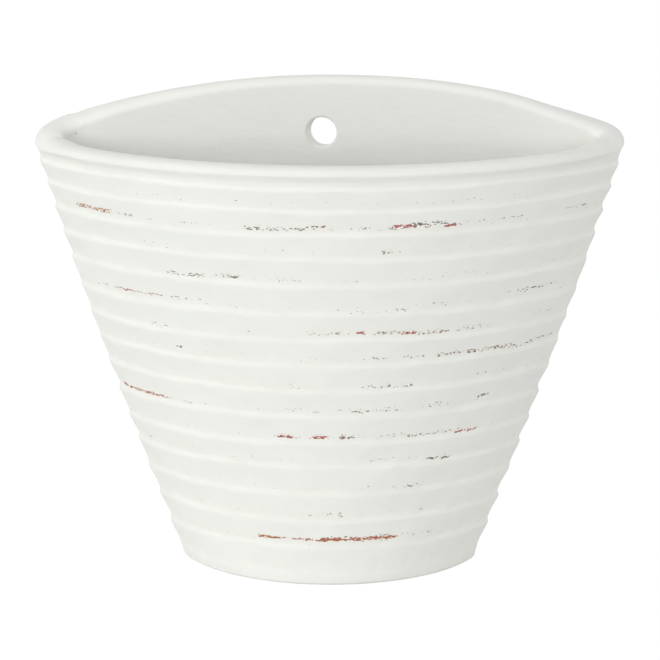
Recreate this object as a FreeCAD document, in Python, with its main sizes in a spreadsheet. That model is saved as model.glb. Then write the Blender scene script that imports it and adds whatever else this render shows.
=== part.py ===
"""Wall planter: a ringed, bowed pocket of painted terracotta on a flat back plate.

The pot is flat at the back and bowed in front.  Both taper down to a small flat base.
The back plate rises above the horizontal front rim in a shallow arch and has one hole
that hangs the pot on a pin.  Fired as one body, it is built here as a potter puts such a
pocket together: a ringed front wall, a back plate and a floor, seated face to face.

Millimetres.  X runs across the pot, -Y is the bowed front, +Y the wall behind, +Z up.
Each piece is drawn with the back of the plate on Y = 0 and then placed half the overall
depth further back, so that the origin is the middle of the box's underside.
"""
import FreeCAD, Part
import os
from math import cos, isclose, pi, radians, sin, sqrt, tan

import Sketcher
from FreeCAD import Vector

doc = FreeCAD.newDocument("wall_planter")

# ---------------------------------------------------------------- driving dimensions

DIMENSIONS = [
    ("rim_half", 99.2, "half the width of the pocket at the rim, without the lip"),
    ("base_half", 49.9, "half the width of the pocket at the base"),
    ("side_bow", 1.6, "how far the sides swell past a straight taper at mid height"),
    ("rim_depth", 68.2, "depth of the pocket at the rim, back face to front"),
    ("base_depth", 36.4, "depth of the pocket at the base"),
    ("rim_corner", 8.8, "radius of the plan's rear corners at the rim"),
    ("base_corner", 2.7, "radius of the plan's rear corners at the base"),
    ("rim_height", 147.4, "height of the front rim"),
    ("arch_height", 168.2, "height of the arch's crown"),
    ("shoulder_share", 0.19, "share of the way from rim to crown where the arch meets the sides"),
    ("shoulder_round", 6.0, "rounding where the arch meets the sides"),
    ("crown_round", 3.0, "rounding of the arch's front and rear edges"),
    ("plate_thickness", 7.0, "thickness of the back plate"),
    ("wall_thickness", 7.0, "thickness of the front wall"),
    ("floor_thickness", 8.0, "thickness of the floor"),
    ("foot_round", 1.6, "rounding of the foot"),
    ("lip_bulge", 1.3, "how far the rolled lip stands out of the wall"),
    ("lip_roll", 2.7, "radius of the lip's top edges, outside and inside"),
    ("lip_underside", 1.0, "height of the lip's underside, from its widest place to the wall"),
    ("inner_corner", 5.0, "rounding where the wall runs into the back plate"),
    ("corner_sink", 1.0, "how far that rounding runs on behind the plate's front"),
    ("ring_relief", 0.8, "depth of a ring's groove behind its crest"),
    ("ring_first", 7.2, "drop from the rim to the uppermost ring's ledge"),
    ("ring_last", 14.1, "height of the lowest ring's ledge"),
    ("ring_growth", 0.17, "how much each drop between ledges is longer than the one above"),
    ("ring_count", 15, "number of rings"),
    ("ledge_height", 1.7, "height of the short ledge above each crest"),
    ("hole_radius", 4.8, "radius of the hanging hole"),
    ("hole_drop", 18.7, "how far the hanging hole's axis lies below the crown"),
    ("hole_offset", -1.7, "the hand-punched hole sits a little to the left"),
    ("hole_round", 1.0, "rounding of the hole's two mouths"),
]

sheet = doc.addObject("Spreadsheet::Sheet", "Dimensions")
for row, (alias, value, meaning) in enumerate(DIMENSIONS, start=1):
    sheet.set(f"A{row}", str(value))
    sheet.setAlias(f"A{row}", alias)
    sheet.set(f"B{row}", meaning)
doc.recompute()


def size(alias):
    """The value of a driving dimension, read from the sheet."""
    return float(sheet.get(alias))


# ---------------------------------------------------------------- the plan of the pocket

def between(base_value, rim_value, height):
    """A size that changes evenly from the base to the rim, and on above it."""
    return base_value + (rim_value - base_value) * height / size("rim_height")


def plan_half(height):
    """Half the width of the pocket, with the slight swell of its sides."""
    up = min(height / size("rim_height"), 1.0)
    swell = 4.0 * size("side_bow") * up * (1.0 - up)
    return between(size("base_half"), size("rim_half"), height) + swell


def front_circle(height, offset, narrowing=0.0):
    """Radius of the bowed front at a height and how far behind Y = 0 its centre lies.

    The front runs into tight rear corners that also touch Y = 0, which fixes its radius.
    Narrowing draws in the sides but not the front.
    """
    half = plan_half(height) + offset - narrowing
    depth = between(size("base_depth"), size("rim_depth"), height) + offset
    corner = between(size("base_corner"), size("rim_corner"), height)
    run = half - corner
    radius = (run ** 2 + (depth - corner) ** 2 - corner ** 2) / (2.0 * (depth - 2.0 * corner))
    return radius, radius - depth


def dee_wire(height, radius, centre, back, corner, tail=0.0):
    """A plan of one line and three arcs: the front circle, a back line and its two corners.

    A tail runs on behind the back, for a form whose back another shape cuts flat.
    """
    run = sqrt((radius - corner) ** 2 - (centre - back + corner) ** 2)
    front_centre = Vector(0.0, centre, height)
    right_centre = Vector(run, back - corner, height)
    left_centre = Vector(-run, back - corner, height)
    right_way = (right_centre - front_centre).normalize()
    left_way = (left_centre - front_centre).normalize()
    backwards = Vector(0.0, 1.0, 0.0)

    back_right = right_centre + backwards * corner
    back_left = left_centre + backwards * corner
    front_right = front_centre + right_way * radius
    front_left = front_centre + left_way * radius
    front_middle = front_centre - backwards * radius
    right_middle = right_centre + (backwards + right_way).normalize() * corner
    left_middle = left_centre + (backwards + left_way).normalize() * corner
    stops = [back_left, back_right]
    if tail:
        stops = [back_left, back_left + backwards * tail, back_right + backwards * tail, back_right]
    lines = [Part.LineSegment(start, end).toShape() for start, end in zip(stops, stops[1:])]
    return Part.Wire(lines + [
        Part.Arc(back_right, right_middle, front_right).toShape(),
        Part.Arc(front_right, front_middle, front_left).toShape(),
        Part.Arc(front_left, left_middle, back_left).toShape(),
    ])


def outer_wire(height, offset, narrowing=0.0, tail=0.0):
    """The pot's outline at a height, let out by an offset, with its back on Y = 0."""
    corner = between(size("base_corner"), size("rim_corner"), height)
    return dee_wire(height, *front_circle(height, offset, narrowing), 0.0, corner, tail)


def inner_wire(height, flare=0.0):
    """The space's outline at a height: a wall's thickness inside the front, let out by a flare."""
    radius, centre = front_circle(height, 0.0)
    back = size("corner_sink") - size("plate_thickness")
    return dee_wire(height, radius - size("wall_thickness") + flare, centre, back, size("inner_corner"))


def form_through(profile, tail=0.0):
    """A ruled loft through the outlines of a profile: heights with their offsets."""
    return Part.makeLoft([outer_wire(*level, tail=tail) for level in profile], True, True)


# ---------------------------------------------------------------- profiles, all downwards

def rounded_edge(height, offset, radius, start, end, steps):
    """Points of a round about (height, offset), from one angle above level to another."""
    angles = [radians(start + (end - start) * step / steps) for step in range(steps + 1)]
    return [(height + radius * sin(angle), offset - radius * (1.0 - cos(angle))) for angle in angles]


def ledge_heights():
    """Heights of the middles of the ledges; each drop is a little longer than the last."""
    top = size("rim_height") - size("ring_first")
    drops = int(size("ring_count")) - 1
    growth = size("ring_growth")
    first_drop = (top - size("ring_last")) / drops - growth * (drops - 1) / 2.0
    return [top - ring * first_drop - growth * ring * (ring - 1) / 2.0 for ring in range(drops + 1)]


def rings_and_foot():
    """The rings from under the lip to the foot.

    Below each crest the clay is drawn in to a groove.  A short ledge that faces up leads
    out of the groove to the next crest.
    """
    pairs = []
    for ledge in ledge_heights():
        half_ledge = size("ledge_height") / 2.0
        pairs += [(ledge + half_ledge, -size("ring_relief")), (ledge - half_ledge, 0.0)]
    return pairs + rounded_edge(size("foot_round"), 0.0, size("foot_round"), 0.0, -90.0, 3)


lip_middle = size("rim_height") - size("lip_roll")
upper_lip = rounded_edge(lip_middle, size("lip_bulge"), size("lip_roll"), 90.0, 0.0, 3)
under_lip = [(lip_middle - size("lip_underside"), 0.0)]

# The shoulders turn in from the lip's sides and lean on, past the crown, as a gable.
SHOULDER_TURN = 65.0
turn_in = rounded_edge(lip_middle, 0.0, size("shoulder_round"), SHOULDER_TURN, 0.0, 4)
shoulders = [(height, size("lip_bulge"), -drawn_in) for height, drawn_in in turn_in]
gable_height = size("arch_height") + size("shoulder_round")
gable_run = (gable_height - shoulders[0][0]) * tan(radians(SHOULDER_TURN))
shoulders.insert(0, (gable_height, size("lip_bulge"), shoulders[0][2] + gable_run))


# ---------------------------------------------------------------- ringed wall and floor

def space_within():
    """The space inside the wall, from the base to the rim, with a rounded rim edge."""
    roll = size("lip_roll")
    straight_levels = 4
    wires = [inner_wire(lip_middle * level / straight_levels) for level in range(straight_levels)]
    for angle in (0.0, 30.0, 60.0, 90.0):
        turned = radians(angle)
        wires.append(inner_wire(lip_middle + roll * sin(turned), roll * (1.0 - cos(turned))))
    return Part.makeLoft(wires, True, True)


def slice_in_front(top):
    """Everything in front of the back plate from the base up to a height."""
    reach = 2.0 * size("rim_half")
    return Part.makeBox(2.0 * reach, reach - size("plate_thickness"), top, Vector(-reach, -reach, 0.0))


outside = form_through(upper_lip + under_lip + rings_and_foot())
inside = space_within()

wall = doc.addObject("Part::Feature", "RibbedFrontWall")
wall.Label = "ribbed_front_wall"
wall.Shape = outside.common(slice_in_front(size("rim_height"))).cut(inside).removeSplitter()

floor = doc.addObject("Part::Feature", "FloorPlate")
floor.Label = "floor_plate"
floor.Shape = inside.common(slice_in_front(size("floor_thickness"))).removeSplitter()


# ---------------------------------------------------------------- the arched back plate

S = sheet.Name
RISE = f"((1 - {S}.shoulder_share) * ({S}.arch_height - {S}.rim_height))"
ARCH_RADIUS = f"(({S}.rim_half ^ 2 + {RISE} ^ 2) / (2 * {RISE}))"


def new_sketch(body, name):
    """A sketch on the plane of the plate's back: its own x is X and its own y is Z."""
    sketch = body.newObject("Sketcher::SketchObject", name)
    plane = next(plane for plane in body.Origin.OriginFeatures if plane.Role == "XZ_Plane")
    sketch.AttachmentSupport = (plane, [""])
    sketch.MapMode = "FlatFace"
    return sketch


def add_circle(sketch, x, z, radius, x_rule, z_rule, radius_rule):
    """A circle whose place and radius follow the sheet through three expressions.

    A sketch counts its own origin as point 1 of element -1, its upright axis as element -2
    and a circle's centre as point 3.
    """
    sketch.addGeometry(Part.Circle(Vector(x, z, 0.0), Vector(0.0, 0.0, 1.0), radius), False)
    if x_rule is None:
        sketch.addConstraint(Sketcher.Constraint("PointOnObject", 0, 3, -2))
    else:
        across = sketch.addConstraint(Sketcher.Constraint("DistanceX", -1, 1, 0, 3, x))
        sketch.setExpression(f"Constraints[{across}]", x_rule)
    up = sketch.addConstraint(Sketcher.Constraint("DistanceY", -1, 1, 0, 3, z))
    sketch.setExpression(f"Constraints[{up}]", z_rule)
    wide = sketch.addConstraint(Sketcher.Constraint("Radius", 0, radius))
    sketch.setExpression(f"Constraints[{wide}]", radius_rule)


def circles_of(feature, radius):
    """Names of a feature's full circles of a radius."""
    names = []
    for number, edge in enumerate(feature.Shape.Edges, start=1):
        if isclose(edge.Length, 2.0 * pi * radius, rel_tol=1e-6):
            names.append(f"Edge{number}")
    return names


def add_fillet(body, base, name, radius, rule):
    """Rounds both ends of a round edge pair, with the rounding that a cell gives."""
    doc.recompute()
    fillet = body.newObject("PartDesign::Fillet", name)
    fillet.Base = (base, circles_of(base, radius))
    fillet.setExpression("Radius", rule)
    return fillet


# A thick disc with rounded edges.  The top of it is the arch.
disc = doc.addObject("PartDesign::Body", "ArchDisc")
arch_sketch = new_sketch(disc, "ArchSketch")
rise = (1.0 - size("shoulder_share")) * (size("arch_height") - size("rim_height"))
arch_radius = (size("rim_half") ** 2 + rise ** 2) / (2.0 * rise)
add_circle(arch_sketch, 0.0, size("arch_height") - arch_radius, arch_radius,
           None, f"{S}.arch_height - {ARCH_RADIUS}", ARCH_RADIUS)
disc_pad = disc.newObject("PartDesign::Pad", "DiscPad")
disc_pad.Profile = arch_sketch
disc_pad.setExpression("Length", f"{S}.plate_thickness")
crown = add_fillet(disc, disc_pad, "RoundedCrown", arch_radius, f"{S}.crown_round")

# The hanging hole, punched by hand.
hole_sketch = new_sketch(disc, "HoleSketch")
add_circle(hole_sketch, size("hole_offset"), size("arch_height") - size("hole_drop"), size("hole_radius"),
           f"{S}.hole_offset", f"{S}.arch_height - {S}.hole_drop", f"{S}.hole_radius")
hole = disc.newObject("PartDesign::Pocket", "HangingHole")
hole.Profile = hole_sketch
hole.Type = "ThroughAll"
hole.Midplane = True
disc.Tip = add_fillet(disc, hole, "HoleMouths", size("hole_radius"), f"{S}.hole_round")

# The plate's sides are the pocket's own: ringed like the wall, then rounded shoulders.
sides = doc.addObject("Part::Feature", "PlateSides")
sides.Shape = form_through(shoulders + under_lip + rings_and_foot(), tail=size("plate_thickness"))

plate = doc.addObject("Part::Common", "ArchedBackPlate")
plate.Label = "arched_back_plate"
plate.Base = sides
plate.Tool = disc


# ---------------------------------------------------------------- placing and writing

LIP_SHARE = f"(1 - {S}.lip_roll / {S}.rim_height)"
LIP_DEPTH = f"({S}.base_depth + ({S}.rim_depth - {S}.base_depth) * {LIP_SHARE} + {S}.lip_bulge)"

pieces = [wall, plate, floor]
for piece in pieces:
    piece.setExpression("Placement.Base.y", f"{LIP_DEPTH} / 2")
doc.recompute()

for item in doc.Objects:
    if "Invalid" in item.State or "Error" in item.State:
        raise RuntimeError(f"{item.Name} failed: {item.State}")
for piece in pieces:
    if piece.Shape.isNull() or not piece.Shape.isValid() or len(piece.Shape.Solids) != 1:
        raise RuntimeError(f"{piece.Label} is not one valid solid")

os.makedirs("parts", exist_ok=True)
for piece in pieces:
    piece.Shape.exportStep(f"parts/{piece.Label}.step")
    box = piece.Shape.optimalBoundingBox()
    print(f"{piece.Label}: {piece.Shape.Volume / 1000.0:.1f} cm3, "
          f"X {box.XMin:.2f} to {box.XMax:.2f}, Y {box.YMin:.2f} to {box.YMax:.2f}, "
          f"Z {box.ZMin:.2f} to {box.ZMax:.2f}")
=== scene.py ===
"""Wall planter: a ringed, bowed pocket of whitewashed terracotta on a flat, arched back.

One continuous mesh stands for the CAD's front wall, back plate and floor, because the real
pot is one fired body with a lip that runs round the front rim, over the corners and along
the arch. The shape is worked out in millimetres with the back of the plate on Y = 0, and
written in metres in the frame's own place.
"""

import math

import bmesh
import bpy
import numpy as np
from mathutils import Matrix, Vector


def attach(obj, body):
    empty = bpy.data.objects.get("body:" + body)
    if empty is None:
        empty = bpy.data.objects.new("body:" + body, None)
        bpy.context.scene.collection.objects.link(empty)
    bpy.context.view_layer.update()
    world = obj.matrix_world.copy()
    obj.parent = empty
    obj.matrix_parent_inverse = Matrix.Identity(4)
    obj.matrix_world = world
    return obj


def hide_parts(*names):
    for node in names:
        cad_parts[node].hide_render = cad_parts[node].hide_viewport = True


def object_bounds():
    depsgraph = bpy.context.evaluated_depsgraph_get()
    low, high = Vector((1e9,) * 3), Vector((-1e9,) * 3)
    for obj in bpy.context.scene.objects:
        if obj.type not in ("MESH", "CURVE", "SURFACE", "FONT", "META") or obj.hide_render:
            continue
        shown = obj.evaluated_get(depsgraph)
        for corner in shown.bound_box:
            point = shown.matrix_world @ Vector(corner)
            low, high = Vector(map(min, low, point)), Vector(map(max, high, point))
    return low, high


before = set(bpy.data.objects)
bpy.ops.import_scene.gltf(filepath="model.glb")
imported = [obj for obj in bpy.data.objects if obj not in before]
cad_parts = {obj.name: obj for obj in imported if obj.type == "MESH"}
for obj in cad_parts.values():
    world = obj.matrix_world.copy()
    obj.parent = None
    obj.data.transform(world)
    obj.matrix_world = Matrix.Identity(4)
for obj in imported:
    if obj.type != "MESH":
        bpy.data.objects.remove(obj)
cad_low, cad_high = [list(corner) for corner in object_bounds()]

MM = 0.001
BACK_Y = cad_high[1]          # the back of the plate, in metres

# ------------------------------------------------------------------ sizes, in millimetres
RIM_HALF, BASE_HALF, SIDE_BOW = 99.2, 49.9, 1.6          # half widths, and the sides' bow
RIM_DEPTH, BASE_DEPTH = 68.2, 36.4
RIM_CORNER, BASE_CORNER = 8.8, 2.7                       # radii where the front meets the back
RIM_HEIGHT, ARCH_HEIGHT, SHOULDER_HEIGHT = 147.4, 168.1, 151.4
PLATE, WALL_FRONT, WALL_SIDE, FLOOR = 7.0, 6.8, 6.2, 8.0
INNER_CORNER, FLOOR_ROUND = 6.0, 5.0
FLOOR_INSET = 0.75                                       # the rounding's width over its height
LEFT_FILL, RIGHT_FILL, FILL_LENGTH = 1.0, 2.6, 22.0      # clay smoothed into the inner corners
INNER_SHIFT = 1.1                                        # how far right the inside lies at the rim
LIP_BULGE, CORNER_BULGE = 0.5, -0.4                      # how far the lip stands out of the wall
LIP_DROP, CORNER_DROP, ARCH_DROP = 3.0, 4.7, 3.2         # from the lip's top to its widest line
LEFT_CORNER, RIGHT_CORNER = 148.3, 149.1                 # heights of the lip at the corners
ARCH_LEAN, LEAN_LENGTH = 0.6, 50.0                       # the arch stands higher on the right
LEFT_FALL, LEFT_FALL_FROM, LEFT_FALL_LENGTH = 0.5, 82.0, 8.0
RIGHT_FALL, RIGHT_FALL_FROM, RIGHT_FALL_LENGTH = 0.8, 60.0, 18.0
RING_RELIEF, FRONT_RELIEF = 0.85, 0.42                   # at the sides and in front
LEDGES = (140.2, 132.8, 124.6, 116.3, 107.3, 97.4, 88.4, 79.7,
          70.7, 61.5, 51.9, 43.5, 33.6, 23.8, 14.0)
LEDGE_HEIGHT = 1.9
FOOT_ROUND = 1.2
HOLE_X, HOLE_Z, HOLE_R, HOLE_ROUND = -2.4, 149.2, 5.0, 0.7
HOLE_SKEW = 1.3                                          # the punched hole's back end lies right
HEIGHT_SWAY, UNEVEN = 0.42, 0.2                          # of each ring, and of the whole wall
CALM_BELOW_RIM, CALM_LENGTH = 4.0, 12.0                  # the unevenness fades at foot and rim

# ------------------------------------------------------------------ shares and exponents
RELIEF_SWAY = 0.42            # how much a ring's relief changes round the pot
RELIEF_POWER = 1.5            # how fast the relief falls towards the front
GROOVE_AT, GROOVE_POWER = 0.75, 1.4                      # deepest place under a crest; its curve
TOP_LEDGE, TOP_POWER = 0.36, 2.2                         # the same above the uppermost crest
LIP_FROM = 0.55               # where the wall starts to swell into the lip
FOOT_FADE = 0.5               # over this much of its height the lowest ring grows out of the foot
SWAY_POWER = 4                # how fast the uppermost ring's sway fades down the inside
OUTER_SQUARE = 0.86, 1.08, 1.08, 0.9     # 1 for an elliptical lip, less for a squarer one:
INNER_SQUARE = 0.72, 0.62, 0.62, 0.8     # in front, at the left and right corners, at the rear

# ------------------------------------------------------------------ mesh resolution
FRONT_STEPS, CORNER_STEPS, BACK_STEPS = 192, 15, 60
COLUMNS = FRONT_STEPS + 2 * CORNER_STEPS + BACK_STEPS
CLIMB = FRONT_STEPS // 14     # columns over which the front's lip turns into the corner's
FOOT_ROWS, TOP_ROWS, INNER_ROWS, FLOOR_ROWS = 7, 24, 36, 6
DOWN = (0.0, 0.03, 0.07, 0.12, 0.19, 0.28, 0.38, 0.49, 0.60, 0.69, 0.75, 0.80, 0.85, 0.90, 0.95)
FLOOR_FROM = 15.0             # degrees at which the rows of the floor's rounding start
LIP_ANGLES = (0.0, 10.0, 20.0, 31.0, 42.0, 54.0, 66.0, 78.0, 90.0,
              102.0, 113.0, 124.0, 135.0, 146.0, 157.0, 168.0, 180.0)
HALF_COLUMNS, HALF_ROWS = 4, 8                           # of the block of cells round the hole
FLOOR_SHARES, UNDER_SHARES = (0.85, 0.65, 0.4, 0.15), (0.93, 0.8, 0.6, 0.35, 0.12)
FLOOR_MIDDLE, UNDER_MIDDLE = -20.0, -18.0                # Y of the middle of the floor's two faces
MOUTH_SHARES, MOUTH_ANGLES = (0.3, 0.55, 0.75, 0.9), (0.0, 18.0, 36.0, 54.0, 72.0, 90.0)
TUNNEL_SHARES = (0.25, 0.5, 0.75)


def smooth(t):
    t = np.clip(t, 0.0, 1.0)
    return t * t * (3.0 - 2.0 * t)


# ------------------------------------------------------------------ the plan
# Each column keeps to one segment of the plan: where it lies on it runs from 0 to 1.
STEPS = (FRONT_STEPS, CORNER_STEPS, BACK_STEPS, CORNER_STEPS)
SEGMENT = np.repeat([0, 1, 2, 3], STEPS)
ALONG = np.concatenate([np.arange(count) / count for count in STEPS])
AROUND = 2.0 * math.pi * np.arange(COLUMNS) / COLUMNS
REAR_FIRST = FRONT_STEPS + CORNER_STEPS
REAR_LAST = REAR_FIRST + BACK_STEPS


def by_segment(front, right, rear, left):
    """For each column, its value in the array of its own segment."""
    return np.select([SEGMENT == 0, SEGMENT == 1, SEGMENT == 2, SEGMENT == 3],
                     [front, right, rear, left])


TO_RIGHT = by_segment(ALONG, 1.0, 1.0 - ALONG, 0.0)
ON_WALL = by_segment(1.0, smooth(1.0 - ALONG), 0.0, smooth(ALONG))


def outer_dee(z, offset):
    """Front circle (radius, centre), back line and corner radius of the outside at a height."""
    up = np.minimum(z / RIM_HEIGHT, 1.0)
    half = BASE_HALF + (RIM_HALF - BASE_HALF) * up + 4.0 * SIDE_BOW * up * (1.0 - up) + offset
    depth = BASE_DEPTH + (RIM_DEPTH - BASE_DEPTH) * up + offset
    corner = BASE_CORNER + (RIM_CORNER - BASE_CORNER) * up
    run = half - corner
    radius = (run ** 2 + (depth - corner) ** 2 - corner ** 2) / (2.0 * (depth - 2.0 * corner))
    return radius, radius - depth, 0.0, corner


def inner_dee(z, offset):
    """The inside: the outside drawn in by the wall, with a rounded corner against the plate."""
    radius, centre, back, _ = outer_dee(z, 0.0)
    thinning = WALL_FRONT - WALL_SIDE
    return radius - WALL_SIDE - offset, centre + thinning, back - PLATE - offset, INNER_CORNER


def dee_points(radius, centre, back, corner):
    """The closed plan: front arc from left to right, right corner, back line, left corner.

    The front circle's centre is (0, centre) and the back line lies on Y = back.
    """
    reach = radius - corner
    lift = centre - (back - corner)          # how far the front's centre lies behind the corner's
    run = np.sqrt(reach ** 2 - lift ** 2)
    turn = np.arctan2(run, lift)             # angle of the tangent point, from straight ahead
    a = turn * (2.0 * ALONG - 1.0)
    b = turn + (math.pi - turn) * ALONG
    d = math.pi + (math.pi - turn) * ALONG
    x = by_segment(radius * np.sin(a), run + corner * np.sin(b),
                   run * (1.0 - 2.0 * ALONG), -run + corner * np.sin(d))
    y = by_segment(centre - radius * np.cos(a), back - corner - corner * np.cos(b),
                   back, back - corner - corner * np.cos(d))
    return np.stack([x, y], 1)


def inner_points(z, offset=0.0):
    """The inside's plan, with clay smoothed into its corners along the plate."""
    z = np.broadcast_to(np.asarray(z, float), (COLUMNS,))
    points = dee_points(*inner_dee(z, offset))
    up = np.minimum(z / RIM_HEIGHT, 1.0)
    run = np.abs(points[REAR_FIRST, 0])
    along_plate = smooth(1.0 - (run - np.abs(points[:, 0])) / FILL_LENGTH)
    towards_corner = by_segment(0.0, smooth(ALONG), along_plate, smooth(1.0 - ALONG))
    points[:, 1] -= (LEFT_FILL + (RIGHT_FILL - LEFT_FILL) * TO_RIGHT) * up ** 2 * towards_corner
    points[:, 0] += INNER_SHIFT * up
    return points


# ------------------------------------------------------------------ the rim's height round the pot
ARCH_RISE = ARCH_HEIGHT - SHOULDER_HEIGHT
ARCH_RADIUS = (RIM_HALF ** 2 + ARCH_RISE ** 2) / (2.0 * ARCH_RISE)


def arch_at(x):
    """Height of the arch, with its ends falling away a little towards the shoulders."""
    arch = ARCH_HEIGHT - ARCH_RADIUS + np.sqrt(ARCH_RADIUS ** 2 - x ** 2)
    lean = ARCH_LEAN * smooth(x / LEAN_LENGTH)
    left = LEFT_FALL * smooth((-x - LEFT_FALL_FROM) / LEFT_FALL_LENGTH)
    right = RIGHT_FALL * smooth((x - RIGHT_FALL_FROM) / RIGHT_FALL_LENGTH)
    return arch + lean - left - right


def round_the_corner(front, left, right, rear):
    """A value for each column: one in front, one at each corner, one (or a row) at the rear.

    It changes over the last of the front arc and then over the corner.
    """
    values = np.full(COLUMNS, float(front))
    values[REAR_FIRST:REAR_LAST] = rear
    ends = values[REAR_FIRST], values[REAR_LAST - 1]
    climb = smooth(np.arange(1, CLIMB + 1) / CLIMB)
    bend = np.arange(1, CORNER_STEPS + 1) / (CORNER_STEPS + 1)
    values[FRONT_STEPS - CLIMB:FRONT_STEPS] = front + (right - front) * climb
    values[FRONT_STEPS:REAR_FIRST] = right + (ends[0] - right) * bend
    values[REAR_LAST:] = (left + (ends[1] - left) * bend)[::-1]
    values[:CLIMB] = (front + (left - front) * climb)[::-1]
    return values


rim_x = dee_points(*outer_dee(np.full(COLUMNS, RIM_HEIGHT), 0.0))[REAR_FIRST:REAR_LAST, 0]
RIM = round_the_corner(RIM_HEIGHT, LEFT_CORNER, RIGHT_CORNER, arch_at(rim_x))
DROP = round_the_corner(LIP_DROP, CORNER_DROP, CORNER_DROP, ARCH_DROP)
BULGE = round_the_corner(LIP_BULGE, CORNER_BULGE, CORNER_BULGE, 0.0)

# ------------------------------------------------------------------ hand-made unevenness
RINGS = len(LEDGES)
HEIGHT_SEED, DEPTH_SEED = 11, 12
HEIGHT_WAVES = ((2, 0.5), (5, 0.35), (11, 0.25), (23, 0.15), (41, 0.1))       # turns, share
DEPTH_WAVES = ((3, 0.5), (7, 0.4), (17, 0.35), (31, 0.25), (53, 0.15))
# the whole wall's slow waves: turns, rise (cycles to the millimetre), phase and share
WALL_WAVES = ((3, 0.021, 0.4, 0.3), (5, -0.034, 1.9, 0.3), (8, 0.055, 4.1, 0.25),
              (13, -0.09, 2.7, 0.2), (19, 0.14, 5.3, 0.15))


def wavering(waves, seed):
    """A smooth closed wave over the columns for each ring and one more, about -1 to 1."""
    random = np.random.default_rng(seed)
    found = []
    for _ in range(RINGS + 1):
        wave = np.zeros(COLUMNS)
        for turns, share in waves:
            wave += share * np.sin(turns * AROUND + random.uniform(0.0, 2.0 * math.pi))
        found.append(wave)
    return np.array(found)


sway = wavering(HEIGHT_WAVES, HEIGHT_SEED)
depth_change = wavering(DEPTH_WAVES, DEPTH_SEED)


def uneven(z):
    """How far the wall stands out at a height: waves across the rings, none along the back."""
    wave = sum(share * np.sin(turns * AROUND + 2.0 * math.pi * rise * z + phase)
               for turns, rise, phase, share in WALL_WAVES)
    low_end = smooth((z - FOOT_ROUND) / CALM_LENGTH)
    high_end = smooth((RIM_HEIGHT - CALM_BELOW_RIM - z) / CALM_LENGTH)
    return UNEVEN * wave * ON_WALL * low_end * high_end


# ------------------------------------------------------------------ rows of points, from the foot
in_front = by_segment(np.sin(math.pi * ALONG) ** RELIEF_POWER, 0.0, 0.0, 0.0)
RELIEF = RING_RELIEF + (FRONT_RELIEF - RING_RELIEF) * in_front
rows, row_groove = [], []


def add_row(points, groove=0.0):
    """Keeps a row of points, and how deep it lies in the groove between two rings, 0 to 1."""
    rows.append(points)
    row_groove.append(groove)


def outer_row(z_row, offset):
    """Points of one row, whose height and offset may change from column to column."""
    return np.column_stack([dee_points(*outer_dee(z_row, offset)), z_row])


def ring_relief(ring):
    return RELIEF * (1.0 + RELIEF_SWAY * depth_change[ring])


def ring_offset(down):
    """How far the surface lies behind the crest, 0 to 1, over one period downwards."""
    if down <= GROOVE_AT:
        return math.sin(0.5 * math.pi * down / GROOVE_AT) ** GROOVE_POWER
    return 1.0 - smooth((down - GROOVE_AT) / (1.0 - GROOVE_AT))


# the foot, from the underside's edge upwards
for angle in np.linspace(-90.0, 0.0, FOOT_ROWS):
    turned = math.radians(angle)
    z_row = np.full(COLUMNS, FOOT_ROUND * (1.0 + math.sin(turned)))
    add_row(outer_row(z_row, -FOOT_ROUND * (1.0 - math.cos(turned))))

# the rings, from the lowest crest upwards; each crest is just under its ledge
crest_z = [z - LEDGE_HEIGHT / 2.0 for z in LEDGES]
levels = [FOOT_ROUND] + crest_z[::-1]
for number in range(RINGS):
    low_z, high_z = levels[number], levels[number + 1]
    ring = RINGS - 1 - number                # the ring whose crest is the upper end
    for down in DOWN[::-1]:
        if number == 0 and down > GROOVE_AT:
            continue                         # no ledge where the wall meets the foot
        up = 1.0 - down
        waver = HEIGHT_SWAY * ((1.0 - up) * sway[ring + 1] + up * sway[ring])
        amount = ring_offset(down)
        if number == 0:
            waver = waver * up
            amount *= smooth(up / FOOT_FADE)
        z_row = low_z + (high_z - low_z) * up + waver
        add_row(outer_row(z_row, uneven(z_row) - ring_relief(ring) * amount), amount)

# from the uppermost crest to the lip: stretched up to the rim's own height in each column
zone_low = crest_z[0] + HEIGHT_SWAY * sway[0]
zone_high = RIM - DROP
first_top_row = len(rows)
for step in range(1, TOP_ROWS):
    up = step / TOP_ROWS
    z_row = zone_low + (zone_high - zone_low) * up
    if up < TOP_LEDGE:
        amount = smooth(up / TOP_LEDGE)
    else:
        amount = 1.0 - ((up - TOP_LEDGE) / (1.0 - TOP_LEDGE)) ** TOP_POWER
    swelling = BULGE * smooth((up - LIP_FROM) / (1.0 - LIP_FROM))
    add_row(outer_row(z_row, uneven(z_row) - ring_relief(0) * amount + swelling), amount)

# the lip: from the wall's outer face round the top to the inner one
outer_edge = outer_row(zone_high, 0.0)[:, :2]
inner_edge = inner_points(zone_high)
pushed = outer_row(zone_high, 1.0)[:, :2] - outer_edge
outer_edge = outer_edge + pushed * BULGE[:, None]
middle = (outer_edge + inner_edge) / 2.0
half_way = (outer_edge - inner_edge) / 2.0
outer_square, inner_square = round_the_corner(*OUTER_SQUARE), round_the_corner(*INNER_SQUARE)
for angle in LIP_ANGLES:
    c, s = math.cos(math.radians(angle)), math.sin(math.radians(angle))
    square = outer_square if c > 0.0 else inner_square
    across = math.copysign(1.0, c) * abs(c) ** square     # 1 on the outer face, -1 inside
    add_row(np.column_stack([middle + half_way * across[:, None], zone_high + s ** square * DROP]))

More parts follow.
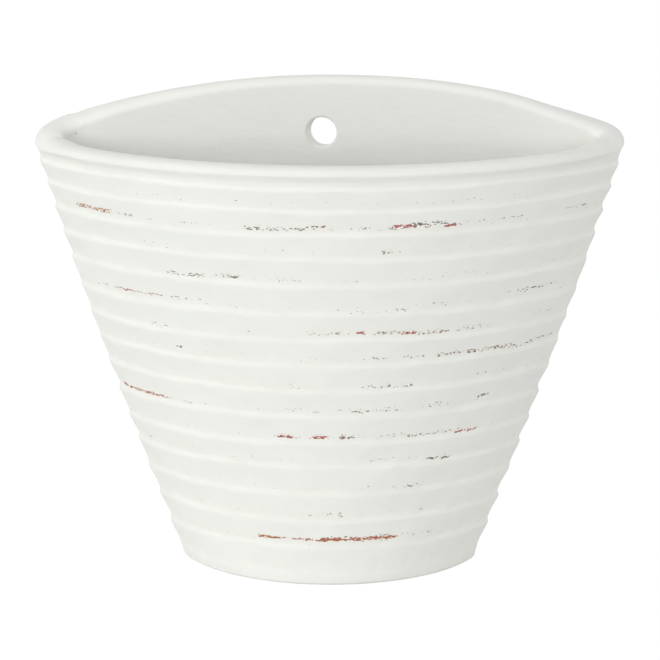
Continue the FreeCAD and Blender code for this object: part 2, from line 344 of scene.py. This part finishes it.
# the inside, downwards: stretched zone, straight wall, rounded floor
inner_first = len(rows)
for step in range(1, TOP_ROWS):
    z_row = zone_high + (zone_low - zone_high) * step / TOP_ROWS
    add_row(np.column_stack([inner_points(z_row), z_row]))
for z in np.linspace(crest_z[0], FLOOR + FLOOR_ROUND, INNER_ROWS):
    share = (z - FLOOR) / (crest_z[0] - FLOOR)
    z_row = z + HEIGHT_SWAY * sway[0] * share ** SWAY_POWER
    add_row(np.column_stack([inner_points(z_row, uneven(z_row)), z_row]))
for angle in np.linspace(FLOOR_FROM, 90.0, FLOOR_ROWS):
    turned = math.radians(angle)
    z = FLOOR + FLOOR_ROUND * (1.0 - math.sin(turned))
    inset = FLOOR_ROUND * (1.0 - math.cos(turned)) * FLOOR_INSET
    add_row(np.column_stack([inner_points(z, inset), np.full(COLUMNS, z)]))

# ------------------------------------------------------------------ one mesh from the rows
grid = np.array(rows)
vertices = grid.reshape(-1, 3)
extra = []                    # points beside the grid: the floor, the underside and the hole


def index(row, column):
    return row * COLUMNS + column % COLUMNS


def hole_block(first_row):
    """The block of cells round the hole, among the stretched rows that start at a row."""
    heights = grid[first_row:first_row + TOP_ROWS - 1, hole_column, 2]
    row = first_row + int(np.argmin(np.abs(heights - HOLE_Z)))
    return row - HALF_ROWS, row + HALF_ROWS, hole_column - HALF_COLUMNS, hole_column + HALF_COLUMNS


plate_x = grid[first_top_row, REAR_FIRST:REAR_LAST, 0]
hole_column = REAR_FIRST + int(np.argmin(np.abs(plate_x - HOLE_X)))
rear_block, front_block = hole_block(first_top_row), hole_block(inner_first)


def in_block(row, column):
    return any(r0 <= row < r1 and c0 <= column < c1
               for r0, r1, c0, c1 in (rear_block, front_block))


def cell(row, column):
    return (index(row, column), index(row, column + 1),
            index(row + 1, column + 1), index(row + 1, column))


faces = [cell(row, column) for row in range(len(rows) - 1) for column in range(COLUMNS)
         if not in_block(row, column)]


def bridge(loop_a, loop_b):
    count = len(loop_a)
    for k in range(count):
        faces.append((loop_a[k], loop_a[(k + 1) % count], loop_b[(k + 1) % count], loop_b[k]))


def add_vertices(points):
    start = len(vertices) + len(extra)
    extra.extend(points)
    return list(range(start, start + len(points)))


def grow(loop, points):
    """Adds a loop of points, joins it to the last loop and returns it."""
    grown = add_vertices(points)
    bridge(loop, grown)
    return grown


def cap(row, z, centre_y, shares):
    """Closes a row towards its middle with ever smaller copies and one last point."""
    loop = [index(row, column) for column in range(COLUMNS)]
    x, y, level = grid[row, :, 0], grid[row, :, 1], np.full(COLUMNS, z)
    for share in shares:
        loop = grow(loop, np.column_stack([x * share, centre_y + (y - centre_y) * share, level]))
    last = add_vertices([(0.0, centre_y, z)])[0]
    for k in range(COLUMNS):
        faces.append((loop[k], loop[(k + 1) % COLUMNS], last))


cap(len(rows) - 1, FLOOR, FLOOR_MIDDLE, FLOOR_SHARES)
under_start = len(faces)
cap(0, 0.0, UNDER_MIDDLE, UNDER_SHARES)
faces[under_start:] = [face[::-1] for face in faces[under_start:]]


def block_loop(r0, r1, c0, c1):
    """The block's boundary, anticlockwise seen with rows upwards and columns to the right."""
    loop = [index(r0, c) for c in range(c0, c1)]
    loop += [index(r, c1) for r in range(r0, r1)]
    loop += [index(r1, c) for c in range(c1, c0, -1)]
    loop += [index(r, c0) for r in range(r1, r0, -1)]
    return loop


def hole_angles(points, skew=0.0):
    return np.arctan2(points[:, 2] - HOLE_Z, points[:, 0] - HOLE_X - skew)


def hole_loop(angles, radius, y, skew):
    return np.array([(HOLE_X + skew + radius * math.cos(a), y, HOLE_Z + radius * math.sin(a))
                     for a in angles])


def mouth(loop, y, inwards, skew):
    """Rings from a block's edge to the hole's rounded mouth; returns the last of them."""
    start = vertices[loop]
    first, second = hole_angles(start[:2])
    turning = 1.0 if math.sin(second - first) > 0.0 else -1.0
    angles = [first + turning * 2.0 * math.pi * k / len(loop) for k in range(len(loop))]
    edge = hole_loop(angles, HOLE_R + HOLE_ROUND, y, skew)
    for share in MOUTH_SHARES:
        loop = grow(loop, (1.0 - share) * start + share * edge)
    for angle in MOUTH_ANGLES:
        turned = math.radians(angle)
        radius = HOLE_R + HOLE_ROUND * (1.0 - math.sin(turned))
        depth = HOLE_ROUND * (1.0 - math.cos(turned))
        loop = grow(loop, hole_loop(angles, radius, y + inwards * depth, skew))
    return loop


front_loop = mouth(block_loop(*front_block), -PLATE, 1.0, 0.0)
rear_loop = mouth(block_loop(*rear_block), 0.0, -1.0, HOLE_SKEW)[::-1]

# join the two mouths through the plate, with the rear loop started beside the front one
all_points = np.concatenate([vertices, np.array(extra)])
apart = hole_angles(all_points[rear_loop], HOLE_SKEW) - hole_angles(all_points[front_loop])[0]
shift = int(np.argmin(np.abs(np.angle(np.exp(1j * apart)))))
rear_loop = rear_loop[shift:] + rear_loop[:shift]
start, end = all_points[front_loop], all_points[rear_loop]
loop = front_loop
for share in TUNNEL_SHARES:
    loop = grow(loop, start + (end - start) * share)
bridge(loop, rear_loop)

extra = np.array(extra)
placed = np.concatenate([vertices, extra]) * MM
placed[:, 1] += BACK_Y


def new_object(name, data):
    made = bpy.data.objects.new(name, data)
    bpy.context.scene.collection.objects.link(made)
    return made


mesh = bpy.data.meshes.new("planter_body")
mesh.from_pydata([tuple(point) for point in placed], [], faces)
mesh.validate()
mesh.polygons.foreach_set("use_smooth", [True] * len(mesh.polygons))
body = new_object("planter_body", mesh)
edit = bmesh.new()
edit.from_mesh(mesh)
bmesh.ops.recalc_face_normals(edit, faces=edit.faces)
edit.to_mesh(mesh)
edit.free()

# ------------------------------------------------------------------ worn places
# Where the whitewash has rubbed off: ring, from x, to x, height above the ring's ledge (mm),
# strength (about 0.5 to 1.4) and tone.
GREY, BROWN, RED, ORANGE = 0.0, 0.3, 0.6, 1.0
WORN = (
    (2, -83, -71, 2.8, 1.15, ORANGE), (2, -71, -63, 2.6, 0.8, BROWN),
    (2, -60, -40, 2.4, 0.65, GREY), (2, -24, -6, 2.1, 1.0, GREY), (2, -3.5, 0, 3.0, 1.1, BROWN),
    (2, 2, 4, 2.4, 0.8, GREY),
    (2, 9, 16, 2.5, 0.7, GREY), (2, 20, 23, 2.3, 0.9, GREY), (2, 23, 29, 2.8, 1.25, RED),
    (2, 29, 39, 3.5, 1.1, GREY), (2, 39.5, 42, 2.4, 1.3, RED), (2, 42, 52, 3.0, 0.7, GREY),
    (2, 54, 64, 2.9, 0.7, BROWN), (2, 78, 86, 3.4, 0.8, GREY), (1, -12, 62, 2.8, 0.48, GREY),
    (3, 19.4, 21.6, 2.6, 1.25, BROWN), (3, 10, 14, 2.4, 0.5, GREY),
    (4, -50, -39, 1.6, 1.0, GREY), (4, -32, -28, 2.3, 1.0, GREY), (4, -18, -6, 2.0, 0.7, GREY),
    (4, 5, 16, 1.8, 0.5, GREY), (4, 28, 52, 2.4, 0.5, GREY),
    (5, -73, -69, 3.1, 0.8, GREY), (5, -68, -56, 3.1, 1.05, RED), (5, -55, -40, 3.2, 0.8, GREY),
    (5, 7, 25, 1.0, 0.62, GREY), (5, 24, 27, 1.4, 0.9, GREY), (5, 60, 63, 3.7, 1.0, BROWN),
    (5, 65, 72, 3.9, 1.0, GREY), (5, 72, 76, 4.4, 0.8, GREY), (5, 33, 39, 2.5, 0.7, BROWN),
    (6, -57, -52, 1.1, 0.8, GREY), (6, -4, 8, 2.7, 0.9, BROWN), (6, 11.2, 13.4, 2.8, 1.3, RED),
    (6, 16, 25, 2.6, 0.95, BROWN), (6, 25.5, 29.5, 2.4, 1.15, RED), (6, 30, 53, 1.9, 0.9, BROWN),
    (6, 66, 76, 3.3, 0.75, GREY),
    (7, -49.3, -47.7, 3.3, 1.0, GREY), (7, -20, 0, 2.7, 0.55, GREY), (7, 13, 33, 2.6, 0.85, GREY),
    (7, 38, 61, 2.3, 0.98, BROWN), (7, 61, 68, 1.5, 0.85, GREY), (7, 68, 75, 2.3, 0.85, GREY),
    (8, 12, 17, 1.5, 0.8, GREY), (8, 17, 29, 1.4, 0.9, GREY), (8, -14, -4, 1.6, 0.5, GREY),
    (8, 50, 53, 2.8, 0.8, GREY), (8, 58, 60, 2.6, 0.7, GREY),
    (9, -69, -55, 1.7, 1.15, ORANGE), (9, -55, -44, 1.6, 0.7, BROWN),
    (9, -12, 10, 2.4, 0.65, GREY), (9, 10, 24, 2.2, 0.9, GREY), (9, 33, 38, 3.0, 0.95, GREY),
    (9, 40, 50, 3.0, 0.6, GREY),
    (9, 51.6, 53.4, 3.9, 1.15, GREY),
    (10, -15.5, -10.5, 2.5, 1.2, RED), (10, -9, -3.5, 2.5, 0.7, BROWN),
    (10, -3.5, 1, 2.5, 1.25, RED), (10, 5, 8.5, 2.6, 1.1, BROWN), (10, 9, 26, 2.5, 0.75, GREY),
    (10, 26, 42, 2.0, 0.85, BROWN),
    (10, 44, 49.5, 1.3, 1.1, RED),
    (11, 15, 23, 2.1, 0.7, GREY), (11, 34, 36.4, 1.4, 1.0, GREY), (11, 39, 41, 0.8, 0.9, GREY),
    (12, 22, 32, 1.8, 0.75, GREY), (12, 36, 39, 1.8, 0.6, GREY),
    (13, -6, 5, 2.2, 0.8, GREY), (13, 30, 33, 2.0, 0.6, GREY),
    (14, -21.5, -14.5, 3.0, 1.3, ORANGE), (14, -10.5, -4.5, 3.0, 1.2, ORANGE),
    (14, -2, 22.5, 2.9, 1.4, ORANGE), (14, 0, 22, 3.6, 0.95, BROWN),
    (14, 22.5, 35, 3.3, 0.85, GREY), (14, -38, -26, -8.7, 0.55, GREY),
)
WORN_HALF_HEIGHT, WORN_FADE = 0.88, 1.5                  # of a mark, and at its ends
FAINT, FAINT_ABOVE, FAINT_HALF_HEIGHT = 0.40, 2.4, 1.6   # rare specks along every ring
TONE_REACH = 2.0                                         # how far round a mark its tone holds


def bulging(past, off):
    """1 in the middle of a mark, falling to 0 at its ends and at its upper and lower edges."""
    return np.clip(1.0 - past ** 2 - off ** 2, 0.0, 1.0) ** 0.5


x, y, z = vertices.T
outside = np.arange(len(vertices)) < inner_first * COLUMNS
front_side = outside & (y < -PLATE)
worn, tone = np.zeros(len(vertices)), np.zeros(len(vertices))
for ledge in LEDGES[1:]:
    off = np.abs(z - ledge - FAINT_ABOVE) / FAINT_HALF_HEIGHT
    worn = np.where(front_side, np.maximum(worn, FAINT * bulging(0.0, off)), worn)
for ring, start, end, above, strength, mark_tone in WORN:
    past = np.maximum(np.maximum(start - x, x - end), 0.0) / WORN_FADE
    off = np.abs(z - (LEDGES[ring] + above)) / WORN_HALF_HEIGHT
    share = strength * bulging(past, off)
    stronger = front_side & (share > worn)
    worn = np.where(stronger, share, worn)
    reach = front_side & (past < TONE_REACH) & (off < TONE_REACH)
    tone = np.where(reach & (share >= worn) | stronger, mark_tone, tone)

# painted shade: the inside and the hole's front mouth take a darker paint colour for the dimmer
# light inside the pot
inside = np.zeros(len(vertices))
inside[(inner_first - 1) * COLUMNS:] = 1.0
extra_inside = (extra[:, 2] > FLOOR / 2.0) & (extra[:, 1] < HOLE_ROUND / 2.0 - PLATE)


def point_attribute(name, values, extra_values=0.0):
    attribute = mesh.attributes.new(name, "FLOAT", "POINT")
    values = np.concatenate([values, np.zeros(len(extra)) + extra_values])
    attribute.data.foreach_set("value", values.astype(np.float32))


# how deep each point lies in a groove, which drives the painted shade there
point_attribute("groove", np.repeat(row_groove, COLUMNS))
# marks the inner surfaces, which take the painted shade
point_attribute("inside", inside, extra_inside)
point_attribute("worn", worn)
point_attribute("tone", tone)

# ------------------------------------------------------------------ helpers for node trees
nodes = links = None          # those of the tree that opened() was last called for


def opened(owner):
    """Turns on the nodes of a material or world; the helpers below then work in its tree."""
    owner.use_nodes = True
    return owner.node_tree.nodes, owner.node_tree.links


def node(kind, **settings):
    made = nodes.new("ShaderNode" + kind)
    for name, value in settings.items():
        setattr(made, name, value)
    return made


def feed(made, **inputs):
    """Sets a node's inputs by name or number: another node's output, or a plain value."""
    for name, value in inputs.items():
        key = int(name[1:]) if name[0] == "_" else name.replace("_", " ")
        socket = made.inputs[key]
        if isinstance(value, bpy.types.NodeSocket):
            links.new(value, socket)
        else:
            socket.default_value = value
    return made


def maths(operation, a, b, c=None):
    made = feed(node("Math", operation=operation), _0=a, _1=b)
    if c is not None:
        feed(made, _2=c)
    return made.outputs[0]


def ramp_between(value, low, high, to_low=0.0, to_high=1.0):
    return feed(node("MapRange", interpolation_type="SMOOTHSTEP"), Value=value, From_Min=low,
                From_Max=high, To_Min=to_low, To_Max=to_high).outputs[0]


def mixed(factor, a, b):
    return feed(node("Mix", data_type="RGBA"), _0=factor, _6=a, _7=b).outputs[2]


def noise_at(stretch, detail=3.0, roughness=0.55, distortion=0.0):
    """Noise with one cycle to about a unit, after the place in metres is scaled by stretch."""
    scaled = feed(node("VectorMath", operation="MULTIPLY"), _0=place, _1=stretch).outputs[0]
    return feed(node("TexNoise"), Vector=scaled, Scale=1.0, Detail=detail, Roughness=roughness,
                Distortion=distortion).outputs[0]


def attribute_value(name):
    return node("Attribute", attribute_name=name).outputs["Fac"]


def mixed_shader(factor, a, b):
    return feed(node("MixShader"), _0=factor, _1=a.outputs[0], _2=b.outputs[0]).outputs[0]


# ------------------------------------------------------------------ painted terracotta
PAINT = (0.862, 0.868, 0.822, 1.0)
PAINT_COOL = (0.838, 0.850, 0.808, 1.0)
# a warmer paint tone for the random streaks, also used as painted shade deep in the grooves
PAINT_WARM_AND_GROOVE_SHADE = (0.852, 0.845, 0.782, 1.0)
# painted shade: a darker colour for the inside, where less light falls
PAINTED_SHADE_INSIDE = (0.802, 0.808, 0.768, 1.0)
PIT_COLOUR = (0.2, 0.17, 0.14, 1.0)
CLAY = {GREY: (0.21, 0.175, 0.145, 1.0), BROWN: (0.27, 0.16, 0.12, 1.0),
        RED: (0.42, 0.12, 0.10, 1.0), ORANGE: (0.42, 0.16, 0.06, 1.0)}
# noise cycles to the metre along X, Y and Z: coarser along the rings than across them
CLOUDS, STREAKS = (28.0, 28.0, 34.0), (14.0, 14.0, 900.0)
STROKES, SPECKS = (520.0, 520.0, 2100.0), (1150.0, 1150.0, 1700.0)
GLOSS, GRAIN, BRUSHED = (300.0,) * 3, (1600.0,) * 3, (160.0, 160.0, 1100.0)
DENTS, PITS = (75.0, 75.0, 150.0), 85.0
# the groove share sets how strongly the grooves are darkened, as painted shade
STREAK_SHARE, GROOVE_SHADE_SHARE, PIT_SHARE = 0.45, 0.25, 0.8
STROKE_SHARE, SPECK_SHARE, WORN_SHARE = 0.55, 0.45, 0.235
# from where to where on each noise or share a layer comes in
CLOUD_RAMP, STREAK_RAMP, GROOVE_SHADE_RAMP, GLOSS_RAMP = (0.35, 0.7), (0.5, 0.75), (0.6, 1.0), (0.3, 0.7)
BARE_RAMP = 0.725, 0.75                                  # below it paint, above it bare clay
PIT_RADIUS, PIT_RARITY = 0.022, 0.72
PAINT_ROUGH, PAINT_ROUGHER, BARE_ROUGH = 0.5, 0.68, 0.85
GRAIN_SHARE, BRUSHED_SHARE, BARE_DEPTH = 0.35, 0.65, 0.8
FINE_DEPTH, FINE_STRENGTH, DENT_DEPTH = 0.00012, 0.35, 0.0005     # depths in metres
PAINT_GLOSS = 0.35

material = bpy.data.materials.new("painted_terracotta")
mesh.materials.append(material)
nodes, links = opened(material)
shader = feed(nodes["Principled BSDF"], Specular_IOR_Level=PAINT_GLOSS)
place = node("TexCoord").outputs["Object"]

paint = mixed(ramp_between(noise_at(CLOUDS, detail=4.0), *CLOUD_RAMP), PAINT, PAINT_COOL)
streaks = ramp_between(noise_at(STREAKS, roughness=0.6), *STREAK_RAMP)
paint = mixed(maths("MULTIPLY", streaks, STREAK_SHARE), paint, PAINT_WARM_AND_GROOVE_SHADE)
# painted shade: the paint turns darker and warmer deep in the grooves between the rings
groove_shade = ramp_between(attribute_value("groove"), *GROOVE_SHADE_RAMP)
paint = mixed(maths("MULTIPLY", groove_shade, GROOVE_SHADE_SHARE), paint, PAINT_WARM_AND_GROOVE_SHADE)
# painted shade: the inside is darkened
paint = mixed(attribute_value("inside"), paint, PAINTED_SHADE_INSIDE)

# the worn strokes, ragged and drawn out along the rings, and specks among them
strokes = noise_at(STROKES, detail=4.0, roughness=0.6, distortion=0.5)
specks = noise_at(SPECKS, detail=2.0, roughness=0.5)
rubbed = maths("MULTIPLY_ADD", strokes, STROKE_SHARE, maths("MULTIPLY", specks, SPECK_SHARE))
lifted = maths("MULTIPLY_ADD", attribute_value("worn"), WORN_SHARE, rubbed)
bare = ramp_between(lifted, *BARE_RAMP)
ramp = node("ValToRGB")
ramp.color_ramp.elements[0].color = CLAY[GREY]
ramp.color_ramp.elements[1].color = CLAY[ORANGE]
for mark_tone in (BROWN, RED):
    ramp.color_ramp.elements.new(mark_tone).color = CLAY[mark_tone]
links.new(attribute_value("tone"), ramp.inputs[0])
colour = mixed(bare, paint, ramp.outputs[0])

# a few pits in the paint, all over
cells = feed(node("TexVoronoi", feature="F1"), Vector=place, Scale=PITS)
pit = maths("LESS_THAN", cells.outputs["Distance"], PIT_RADIUS)
lot = feed(node("SeparateColor"), Color=cells.outputs["Color"]).outputs[0]
pit = maths("MULTIPLY", pit, maths("GREATER_THAN", lot, PIT_RARITY))
colour = mixed(maths("MULTIPLY", pit, PIT_SHARE), colour, PIT_COLOUR)

rough = ramp_between(noise_at(GLOSS), *GLOSS_RAMP, PAINT_ROUGH, PAINT_ROUGHER)
rough = maths("MAXIMUM", rough, maths("MULTIPLY", bare, BARE_ROUGH))

grain = noise_at(GRAIN, roughness=0.6)
brushed = maths("MULTIPLY", noise_at(BRUSHED, detail=2.0), BRUSHED_SHARE)
height = maths("MULTIPLY_ADD", grain, GRAIN_SHARE, brushed)
height = maths("SUBTRACT", height, maths("MULTIPLY", bare, BARE_DEPTH))
dents = feed(node("Bump"), Strength=1.0, Distance=DENT_DEPTH, Height=noise_at(DENTS))
bump = feed(node("Bump"), Strength=FINE_STRENGTH, Distance=FINE_DEPTH, Height=height,
            Normal=dents.outputs[0])
feed(shader, Base_Color=colour, Roughness=rough, Normal=bump.outputs[0])

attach(body, "root")
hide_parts("ribbed_front_wall", "arched_back_plate", "floor_plate")

# ------------------------------------------------------------------ camera, in metres
LENS, SENSOR = 163.64, 36.0                              # millimetres
SHIFT_X, SHIFT_Y = 0.00105, 0.0268
CAMERA_AT, LOOKED_AT = Vector((0.03494, -0.96598, 0.30430)), Vector((0.0, 0.03458, 0.07363))

camera_data = bpy.data.cameras.new("camera")
camera = new_object("camera", camera_data)
camera_data.sensor_width, camera_data.lens = SENSOR, LENS
camera_data.shift_x, camera_data.shift_y = SHIFT_X, SHIFT_Y
camera.location = CAMERA_AT
camera.rotation_euler = (LOOKED_AT - CAMERA_AT).to_track_quat("-Z", "Y").to_euler()
bpy.context.scene.camera = camera

# ------------------------------------------------------------------ floor, world and lamps
SIDE, LEVEL = 4.0, -0.0002                               # the floor lies just under the base
FLOOR_GLOW, GLOW_SHARE = 1.08, 0.88                      # to the camera it shows nearly white
WORLD_LEVEL, OVERHEAD_LOSS = 0.89, 0.42                  # darker towards straight overhead
# name, strength, the way it shines, and how wide the lamp looks in degrees
SUNS = (("key", 1.26, (0.703, 0.703, -0.105), 50.0),
        ("front", 0.42, (0.0, 0.985, -0.174), 60.0),
        ("right", 0.08, (-0.814, 0.470, -0.342), 50.0),
        ("back", 0.30, (0.0, -0.996, -0.087), 60.0))

floor_mesh = bpy.data.meshes.new("floor")
floor_mesh.from_pydata([(-SIDE, -SIDE, LEVEL), (SIDE, -SIDE, LEVEL), (SIDE, SIDE, LEVEL),
                        (-SIDE, SIDE, LEVEL)], [], [(0, 1, 2, 3)])
floor = new_object("floor", floor_mesh)
floor_material = bpy.data.materials.new("floor")
floor_mesh.materials.append(floor_material)
nodes, links = opened(floor_material)
matt = feed(nodes["Principled BSDF"], Base_Color=(0.8, 0.8, 0.8, 1.0), Roughness=0.9,
            Specular_IOR_Level=0.0)
glow = feed(node("Emission"), Strength=FLOOR_GLOW)
rays = node("LightPath")
seen = maths("MAXIMUM", rays.outputs["Is Camera Ray"], rays.outputs["Is Glossy Ray"])
surface = mixed_shader(maths("MULTIPLY", seen, GLOW_SHARE), matt, glow)
links.new(surface, nodes["Material Output"].inputs["Surface"])

world = bpy.data.worlds.new("world")
bpy.context.scene.world = world
nodes, links = opened(world)
direction = feed(node("SeparateXYZ"), _0=node("TexCoord").outputs["Generated"])
up = maths("MAXIMUM", direction.outputs["Z"], 0.0)
strength = maths("MULTIPLY_ADD", maths("MULTIPLY", up, up), -OVERHEAD_LOSS, WORLD_LEVEL)
ambient = feed(nodes["Background"], Color=(1.0, 1.0, 1.0, 1.0), Strength=strength)
white = feed(node("Background"), Strength=1.0)
surface = mixed_shader(node("LightPath").outputs["Is Camera Ray"], ambient, white)
links.new(surface, nodes["World Output"].inputs["Surface"])

for name, strength, towards, width in SUNS:
    lamp = bpy.data.lights.new(name, "SUN")
    lamp.energy, lamp.angle = strength, math.radians(width)
    new_object(name, lamp).rotation_euler = Vector(towards).to_track_quat("-Z", "Y").to_euler()

bpy.context.scene.view_settings.view_transform = "Standard"
